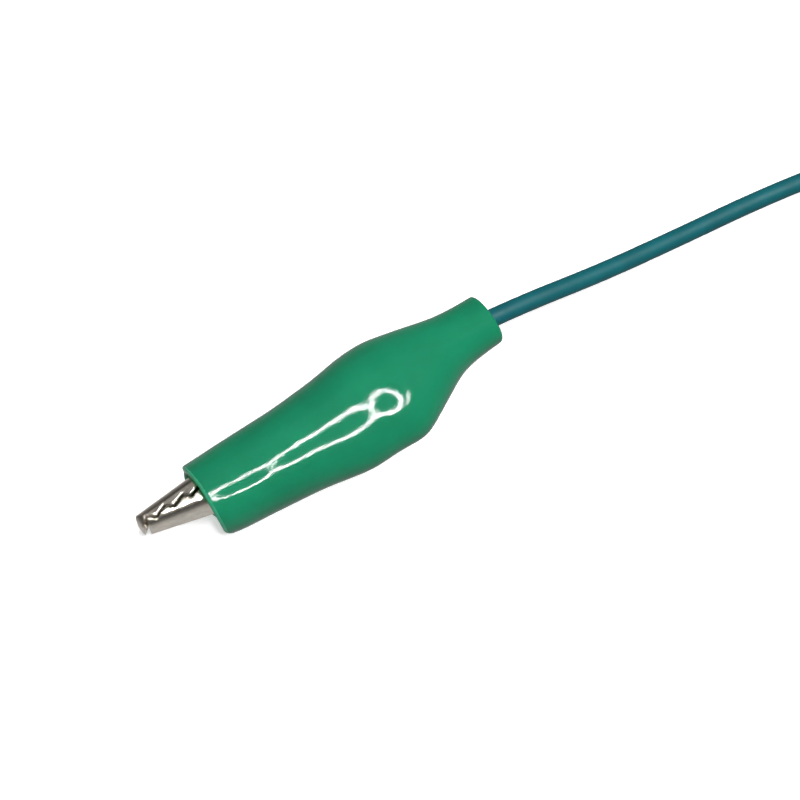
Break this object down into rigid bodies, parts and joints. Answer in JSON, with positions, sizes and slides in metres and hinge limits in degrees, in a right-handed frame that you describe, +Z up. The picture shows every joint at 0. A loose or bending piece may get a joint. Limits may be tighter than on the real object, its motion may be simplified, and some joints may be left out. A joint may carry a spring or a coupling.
{
  "type": "alligator clip lead",
  "caption": "Insulated test lead with a toothed spring clip in a soft green sleeve on each end; the spare wire is folded into a tied hank.",
  "frame": {"origin": "centre of the near clip's box in plan, on the surface it lies on", "axes": "+X from the wire end of the near clip towards its jaws, +Y towards its moving lever, +Z up, along the pivot"},
  "size_m": [0.1769, 0.018, 0.0083],
  "materials": {
    "nickel_plated_steel": "satin bright nickel plate on stamped steel",
    "rivet_steel": "plain",
    "spring_steel": "drawn wire",
    "green_pvc": "glossy soft PVC, slightly translucent",
    "teal_wire": "matt extruded PVC",
    "copper": "bare copper strands",
    "solder": "bright solder",
    "tie_band": "matt"
  },
  "bodies": {
    "lead": {"frame_jaw_near": "nickel_plated_steel", "pivot_rivet_near": "rivet_steel", "torsion_spring_near": "spring_steel", "insulating_boot_near": "green_pvc", "bared_conductor_near": "copper", "solder_joint_near": "solder", "frame_jaw_far": "nickel_plated_steel", "pivot_rivet_far": "rivet_steel", "torsion_spring_far": "spring_steel", "insulating_boot_far": "green_pvc", "bared_conductor_far": "copper", "solder_joint_far": "solder", "wire_lead": "teal_wire", "wire_hank": "teal_wire", "wire_tail": "teal_wire", "hank_tie": "tie_band"},
    "near_lever": {"lever_jaw_near": "nickel_plated_steel"},
    "far_lever": {"lever_jaw_far": "nickel_plated_steel"}
  },
  "joints": [
    {"name": "near_jaw", "type": "hinge", "parent": "lead", "child": "near_lever", "pos_m": [0.0052, -0.00064, 0.0041], "axis": [0, 0, 1], "range_deg": [0, 30], "stiffness_Nm_per_rad": 0.04, "springref_deg": -1.15, "deforming": ["torsion_spring_near", "insulating_boot_near"]},
    {"name": "far_jaw", "type": "hinge", "parent": "lead", "child": "far_lever", "pos_m": [-0.1395, -0.0003, 0.0041], "axis": [0, 0, 1], "range_deg": [0, 30], "stiffness_Nm_per_rad": 0.04, "springref_deg": -1.15, "deforming": ["torsion_spring_far", "insulating_boot_far"]}
  ]
}
